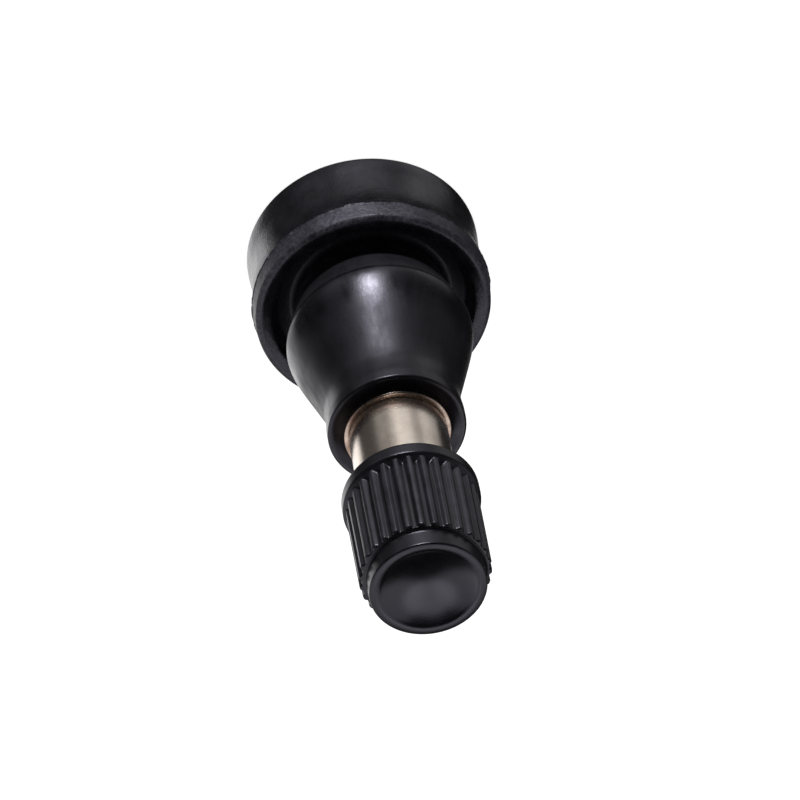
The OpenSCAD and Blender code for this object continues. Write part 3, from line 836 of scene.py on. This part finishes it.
def spring_rise(turn):
    """Height of the wire's middle after a number of turns, with a closed turn at each end."""
    low = spring_box_low.z + WIRE_D / 2
    rise = spring_box_high.z - spring_box_low.z - WIRE_D
    closed = 1.1 * WIRE_D
    return low + np.interp(
        turn, (0, 1, SPRING_TURNS - 1, SPRING_TURNS), (0, closed, rise - closed, rise)
    )


def core_spring(finish):
    """Round wire, extruded step by step round the pin."""
    coil_r = spring_box_high.x - WIRE_D / 2
    bpy.ops.object.select_all(action="DESELECT")
    bpy.ops.mesh.primitive_circle_add(
        vertices=WIRE_SIDES, radius=WIRE_D / 2 * MM, fill_type="NGON", rotation=(math.pi / 2, 0, 0)
    )
    piece = bpy.context.object
    piece.name = piece.data.name = "return_spring"
    bpy.ops.object.transform_apply(location=False, rotation=True, scale=False)
    bpy.ops.object.mode_set(mode="EDIT")
    bpy.ops.transform.translate(value=(coil_r * MM, 0, spring_rise(0) * MM))
    for step in range(SPRING_TURNS * SPRING_STEPS):
        rise = spring_rise((step + 1) / SPRING_STEPS) - spring_rise(step / SPRING_STEPS)
        bpy.ops.mesh.extrude_region_move(TRANSFORM_OT_translate={"value": (0, 0, rise * MM)})
        bpy.ops.transform.rotate(
            value=-FULL_TURN / SPRING_STEPS, orient_axis="Z", center_override=(0, 0, 0)
        )
    close_up()
    finish_piece(piece, "core", "spring_steel", finish, "core_spring", crease=50)
    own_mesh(piece)


def dress_nodes():
    """Finishes for the pieces of the core and the seals, whose solids stay."""
    brass = core_brass()
    black = soft_seal("seal_rubber", (0.018, 0.018, 0.02), (0.032, 0.031, 0.034), 0.6)
    red = soft_seal("gasket_red", (0.24, 0.05, 0.032), (0.34, 0.09, 0.06), 0.5)
    finishes = {
        "core_plug": brass, "core_barrel": brass, "core_pin": brass, "pin_cup": brass,
        "barrel_gasket": red, "cup_seal": black, "cap_seal": black,
    }
    for name, finish in finishes.items():
        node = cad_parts[name]
        node.data.materials.clear()
        node.data.materials.append(finish)


# Studio

# The photograph's view, in degrees and metres, and the points that camera and lamps face
VIEW_AZIMUTH, VIEW_ELEVATION, VIEW_ROLL, VIEW_DISTANCE = 0.135, 50.98, 168.75, 0.4526
LENS, SENSOR_WIDTH, CLIP_START = 261, 36, 0.01
CAMERA_AIM, LAMP_AIM = Vector((-0.67, 0, 19.6)) * MM, Vector((0, 0, 14 * MM))
TABLE_SIZE, TABLE_Z = 6, -0.02 * MM
TABLE_GLOW, TABLE_GREY = 0.75, (0.8, 0.8, 0.8, 1)


def studio_place(azimuth, elevation, distance, centre):
    """A point seen from centre, with azimuth from the front towards +X, in degrees."""
    turn, rise = math.radians(azimuth), math.radians(elevation)
    flat = distance * math.cos(rise)
    offset = (flat * math.sin(turn), -flat * math.cos(turn), distance * math.sin(rise))
    return Vector(centre) + Vector(offset)


def lamp(name, azimuth, elevation, distance, width, height, power):
    """An area lamp that faces the bulb, with its distance and size in metres."""
    light = bpy.data.lights.new(name, "AREA")
    light.shape = "ELLIPSE"
    light.size, light.size_y = width, height
    light.energy = power
    holder = bpy.data.objects.new(name, light)
    bpy.context.scene.collection.objects.link(holder)
    holder.location = studio_place(azimuth, elevation, distance, LAMP_AIM)
    holder.rotation_mode = "QUATERNION"
    holder.rotation_quaternion = (LAMP_AIM - holder.location).to_track_quat("-Z", "Y")
    return holder


def floor_finish():
    """White to the eye, greyer where the valve keeps light off it, and clear from below."""
    material = bpy.data.materials.new("light_table")
    material.use_nodes = True
    tree = material.node_tree
    tree.nodes.clear()
    path = add_node(tree, "ShaderNodeLightPath")
    white = add_node(tree, "ShaderNodeEmission", {"Strength": TABLE_GLOW})
    matt = add_node(tree, "ShaderNodeBsdfDiffuse", {"Color": TABLE_GREY})
    seen = add_node(tree, "ShaderNodeAddShader")
    whole = add_node(tree, "ShaderNodeMixShader")
    side = add_node(tree, "ShaderNodeNewGeometry")
    clear = add_node(tree, "ShaderNodeBsdfTransparent")
    sided = add_node(tree, "ShaderNodeMixShader")
    surface = add_node(tree, "ShaderNodeOutputMaterial")
    tree.links.new(white.outputs[0], seen.inputs[0])
    tree.links.new(matt.outputs[0], seen.inputs[1])
    tree.links.new(path.outputs["Is Camera Ray"], whole.inputs["Fac"])
    tree.links.new(matt.outputs[0], whole.inputs[1])
    tree.links.new(seen.outputs[0], whole.inputs[2])
    tree.links.new(side.outputs["Backfacing"], sided.inputs["Fac"])
    tree.links.new(whole.outputs[0], sided.inputs[1])
    tree.links.new(clear.outputs[0], sided.inputs[2])
    tree.links.new(sided.outputs[0], surface.inputs["Surface"])
    return material


def light_table():
    """A white table that light also comes up through."""
    bpy.ops.object.select_all(action="DESELECT")
    bpy.ops.mesh.primitive_plane_add(size=TABLE_SIZE, location=(0, 0, TABLE_Z))
    table = bpy.context.object
    table.name = "light_table"
    table.data.materials.append(floor_finish())
    table.visible_shadow = table.visible_glossy = table.visible_diffuse = False


# What the valve mirrors: the azimuth and elevation of each pale field's middle, the angles from
# there at which it starts and ends to fade, and how pale it is
REFLECTIONS = {
    "table_glow": (-15, -47, 0, 17, 0.5),
    "table_right": (66, -50, 8, 26, 0.06),
    "table_front_right": (18, -47, 4, 27, 0.26),
    "table_front": (-16, -47, 4, 27, 0.27),
    "table_front_left": (-52, -47, 4, 27, 0.3),
    "table_left": (-80, -48, 10, 20, 0.4),
    "table_edge": (38, -32, 4, 15, 0.7),
    "table_right_rear": (130, -42, 10, 24, 1.5),
    "table_rear": (172, -40, 8, 26, 1.0),
    "table_far": (180, -12, 10, 26, 0.6),
    "wall_right": (118, 18, 15, 42, 1.2),
    "wall_left": (-100, 18, 12, 32, 0.6),
    "ceiling_rear": (180, 61, 13, 18, 1.5),
    "ceiling_middle": (180, 70, 3, 10, 0.6),
    "ceiling_right_rear": (147, 50, 12, 23, 1.2),
    "ceiling_left_rear": (-147, 50, 12, 23, 1.3),
}
# How pale the rest of the room is, and the plain light on all that isn't a mirror
ROOM, FILL = 0.02, 0.45


def surroundings():
    """White to the eye, and to the valve a darker room with a pale table, walls and ceiling."""
    world = bpy.data.worlds.new("studio")
    bpy.context.scene.world = world
    world.cycles.sampling_method = "NONE"
    world.use_nodes = True
    tree = world.node_tree
    tree.nodes.clear()
    place = add_node(tree, "ShaderNodeTexCoord")
    path = add_node(tree, "ShaderNodeLightPath")
    level = add_node(tree, "ShaderNodeValue").outputs[0]
    level.default_value = ROOM
    for azimuth, elevation, inner, outer, pale in REFLECTIONS.values():
        towards = add_node(tree, "ShaderNodeVectorMath", operation="DOT_PRODUCT")
        towards.inputs[1].default_value = studio_place(azimuth, elevation, 1, (0, 0, 0))
        soft = add_node(
            tree, "ShaderNodeMapRange",
            {
                "From Min": math.cos(math.radians(outer)),
                "From Max": math.cos(math.radians(inner)),
                "To Max": pale,
            },
            interpolation_type="SMOOTHSTEP",
        )
        total = add_node(tree, "ShaderNodeMath", operation="ADD")
        tree.links.new(place.outputs["Generated"], towards.inputs[0])
        tree.links.new(towards.outputs["Value"], soft.inputs["Value"])
        tree.links.new(level, total.inputs[0])
        tree.links.new(soft.outputs["Result"], total.inputs[1])
        level = total.outputs[0]
    mirrored = add_node(tree, "ShaderNodeMath", operation="MAXIMUM")
    mirror = add_node(tree, "ShaderNodeBackground")
    fill = add_node(tree, "ShaderNodeBackground", {"Color": (1, 1, 1, 1), "Strength": FILL})
    white = add_node(tree, "ShaderNodeBackground", {"Color": (1, 1, 1, 1)})
    unseen = add_node(tree, "ShaderNodeMixShader")
    whole = add_node(tree, "ShaderNodeMixShader")
    surface = add_node(tree, "ShaderNodeOutputWorld")
    tree.links.new(level, mirror.inputs["Color"])
    tree.links.new(path.outputs["Is Glossy Ray"], mirrored.inputs[0])
    tree.links.new(path.outputs["Is Transmission Ray"], mirrored.inputs[1])
    tree.links.new(mirrored.outputs[0], unseen.inputs["Fac"])
    tree.links.new(fill.outputs[0], unseen.inputs[1])
    tree.links.new(mirror.outputs[0], unseen.inputs[2])
    tree.links.new(path.outputs["Is Camera Ray"], whole.inputs["Fac"])
    tree.links.new(unseen.outputs[0], whole.inputs[1])
    tree.links.new(white.outputs[0], whole.inputs[2])
    tree.links.new(whole.outputs[0], surface.inputs["Surface"])


def lamps():
    """A key lamp under the table's front edge and a soft top light that shows in no reflection."""
    lamp("key", -2, -21, distance=0.5, width=0.15, height=0.08, power=2.2)
    top = lamp("top_soft", 20, 75, distance=0.6, width=0.5, height=0.5, power=0.6)
    top.visible_glossy = False


def camera():
    """The photograph's view: from high in front, rolled so that the base is at the top."""
    eye = bpy.data.cameras.new("camera")
    eye.sensor_width = SENSOR_WIDTH
    eye.lens = LENS
    eye.clip_start = CLIP_START
    holder = bpy.data.objects.new("camera", eye)
    bpy.context.scene.collection.objects.link(holder)
    holder.location = studio_place(VIEW_AZIMUTH, VIEW_ELEVATION, VIEW_DISTANCE, CAMERA_AIM)
    roll = Quaternion((0, 0, 1), math.radians(VIEW_ROLL))
    holder.rotation_mode = "QUATERNION"
    holder.rotation_quaternion = (CAMERA_AIM - holder.location).to_track_quat("-Z", "Y") @ roll
    bpy.context.scene.camera = holder


rubber_body(body_rubber())
brass_stem(plated_brass())
cap_shell(cap_plastic())
core_spring(spring_steel())
dress_nodes()
light_table()
surroundings()
lamps()
camera()
bpy.context.scene.view_settings.view_transform = "Standard"
